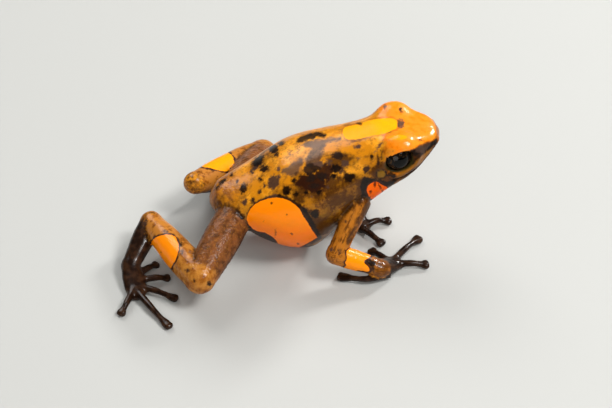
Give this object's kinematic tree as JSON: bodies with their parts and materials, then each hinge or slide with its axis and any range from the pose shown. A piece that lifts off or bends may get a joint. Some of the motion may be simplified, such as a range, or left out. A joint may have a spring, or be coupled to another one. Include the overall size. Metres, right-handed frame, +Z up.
{
  "type": "harlequin poison frog",
  "caption": "Life-size still model of a harlequin poison frog sitting alert on all four limbs, orange brown with dark blotches and bright orange patches.",
  "frame": {"origin": "middle of the bottom of the whole frog, on the surface that it sits on", "axes": "+X the way the nose points and the longest extent, +Y the frog's left side, +Z up and the shortest extent"},
  "size_m": [0.0442, 0.0356, 0.0192],
  "materials": {
    "body_skin": "wet smooth skin, ochre orange mottled with dark brown",
    "limb_skin": "wet finely granular skin, brown to orange",
    "dark_skin": "wet glossy dark brown skin of feet, toes and fingers",
    "eye": "glossy near-black eye with a clear wet surface"
  },
  "bodies": {
    "root": {"eye_left": "eye", "eye_right": "eye", "finger_1_left": "dark_skin", "finger_1_right": "dark_skin", "finger_2_left": "dark_skin", "finger_2_right": "dark_skin", "finger_3_left": "dark_skin", "finger_3_right": "dark_skin", "finger_4_left": "dark_skin", "finger_4_right": "dark_skin", "foot_left": "dark_skin", "foot_right": "dark_skin", "forearm_left": "limb_skin", "forearm_right": "limb_skin", "head": "body_skin", "palm_left": "dark_skin", "palm_right": "dark_skin", "shank_left": "limb_skin", "shank_right": "limb_skin", "tarsus_left": "dark_skin", "tarsus_right": "dark_skin", "thigh_left": "limb_skin", "thigh_right": "limb_skin", "toe_1_left": "dark_skin", "toe_1_right": "dark_skin", "toe_2_left": "dark_skin", "toe_2_right": "dark_skin", "toe_3_left": "dark_skin", "toe_3_right": "dark_skin", "toe_4_left": "dark_skin", "toe_4_right": "dark_skin", "toe_5_left": "dark_skin", "toe_5_right": "dark_skin", "torso": "body_skin", "upper_arm_left": "limb_skin", "upper_arm_right": "limb_skin"}
  },
  "joints": []
}
